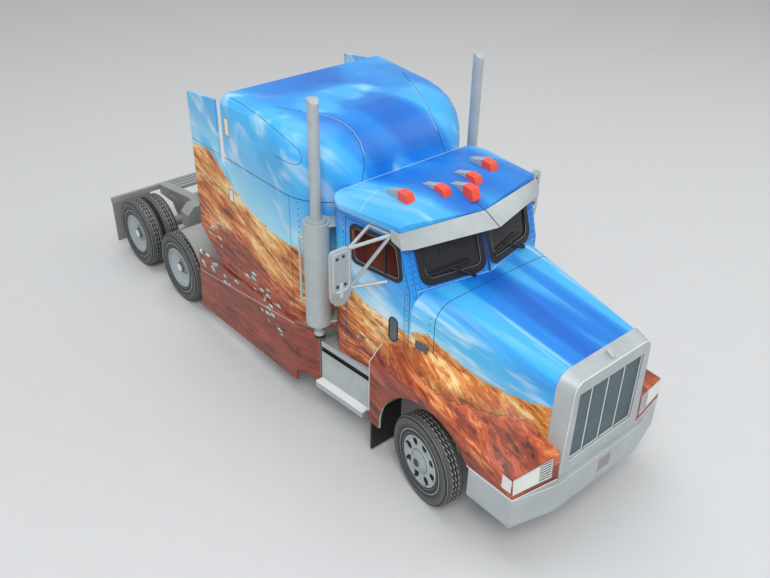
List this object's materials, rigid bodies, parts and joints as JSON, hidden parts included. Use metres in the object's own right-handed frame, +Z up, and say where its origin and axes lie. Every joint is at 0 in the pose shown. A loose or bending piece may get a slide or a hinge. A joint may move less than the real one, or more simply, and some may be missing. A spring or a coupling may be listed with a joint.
{
  "type": "card scale model of a three-axle sleeper tractor unit",
  "caption": "Card model of a long-nosed three-axle tractor with a tall sleeper, twin stacks, steerable front wheels, free-turning twin rear wheels and a small fifth wheel.",
  "frame": {"origin": "middle of the model's box, on the ground plane under the tyres", "axes": "+Z up, -Y the front of the truck, +X its left-hand side"},
  "size_m": [0.1264, 0.342, 0.162],
  "materials": {
    "tyre_rubber": "printed card tyre, satin",
    "rim_card": "pale grey card",
    "frame_card": "light grey card",
    "silver_card": "silver-grey card",
    "body_card": "printed card, sky blue over sand bands",
    "dark_card": "near-black card",
    "grille_card": "dark grey card",
    "lamp_red": "bright red card",
    "lamp_white": "white card",
    "cabin_card": "brown card",
    "seat_card": "pale grey card",
    "pane": "thin clear film"
  },
  "bodies": {
    "root": {"front_axle_beam": "frame_card", "drive_axles": "frame_card", "frame_rails": "frame_card", "suspension_hangers": "frame_card", "fifth_wheel": "frame_card", "rear_flap_bar": "silver_card", "rear_mud_flaps": "silver_card", "drive_mudguards": "rim_card", "cab_shell": "body_card", "window_frames": "dark_card", "window_panes": "pane", "cab_roof": "body_card", "sun_visor": "silver_card", "marker_lamps": "lamp_red", "marker_lamp_bases": "silver_card", "cab_floor": "cabin_card", "dashboard": "cabin_card", "seats": "seat_card", "hood": "body_card", "fenders": "body_card", "bumper": "silver_card", "grille_surround": "silver_card", "grille_panels": "grille_card", "grille_bars": "silver_card", "headlamps": "lamp_white", "step_boxes": "silver_card", "side_fairings": "body_card", "front_mud_flaps": "dark_card", "sleeper_shell": "body_card", "sleeper_roof": "body_card", "side_extenders": "body_card", "exhaust_stacks": "silver_card", "exhaust_brackets": "silver_card", "mirror_heads": "silver_card", "mirror_arms": "silver_card", "wipers": "dark_card"},
    "knuckle_right": {"knuckle_right": "frame_card"},
    "knuckle_left": {"knuckle_left": "frame_card"},
    "front_wheel_right": {"front_tyre_right": "tyre_rubber", "front_rim_right": "rim_card"},
    "front_wheel_left": {"front_tyre_left": "tyre_rubber", "front_rim_left": "rim_card"},
    "middle_wheels_right": {"middle_tyres_right": "tyre_rubber", "middle_rims_right": "rim_card"},
    "middle_wheels_left": {"middle_tyres_left": "tyre_rubber", "middle_rims_left": "rim_card"},
    "rear_wheels_right": {"rear_tyres_right": "tyre_rubber", "rear_rims_right": "rim_card"},
    "rear_wheels_left": {"rear_tyres_left": "tyre_rubber", "rear_rims_left": "rim_card"}
  },
  "joints": [
    {"name": "steer_right", "type": "hinge", "parent": "root", "child": "knuckle_right", "pos_m": [-0.0366, -0.117, 0.021], "axis": [0, 0, 1], "range_deg": [-13.4, 30.6]},
    {"name": "front_spin_right", "type": "hinge", "parent": "knuckle_right", "child": "front_wheel_right", "pos_m": [-0.0366, -0.117, 0.021], "axis": [0.9888, -0.1495, 0], "continuous": true},
    {"name": "middle_spin_right", "type": "hinge", "parent": "root", "child": "middle_wheels_right", "pos_m": [-0.04, 0.0919, 0.021], "axis": [1, 0, 0], "continuous": true},
    {"name": "rear_spin_right", "type": "hinge", "parent": "root", "child": "rear_wheels_right", "pos_m": [-0.04, 0.1446, 0.021], "axis": [1, 0, 0], "continuous": true},
    {"name": "steer_left", "type": "hinge", "parent": "root", "child": "knuckle_left", "pos_m": [0.0366, -0.117, 0.021], "axis": [0, 0, 1], "range_deg": [-13.4, 30.6]},
    {"name": "front_spin_left", "type": "hinge", "parent": "knuckle_left", "child": "front_wheel_left", "pos_m": [0.0366, -0.117, 0.021], "axis": [0.9888, -0.1495, 0], "continuous": true},
    {"name": "middle_spin_left", "type": "hinge", "parent": "root", "child": "middle_wheels_left", "pos_m": [0.04, 0.0919, 0.021], "axis": [1, 0, 0], "continuous": true},
    {"name": "rear_spin_left", "type": "hinge", "parent": "root", "child": "rear_wheels_left", "pos_m": [0.04, 0.1446, 0.021], "axis": [1, 0, 0], "continuous": true}
  ],
  "couplings": [
    {"joint": "steer_left", "follows": "steer_right", "ratio": 1}
  ]
}
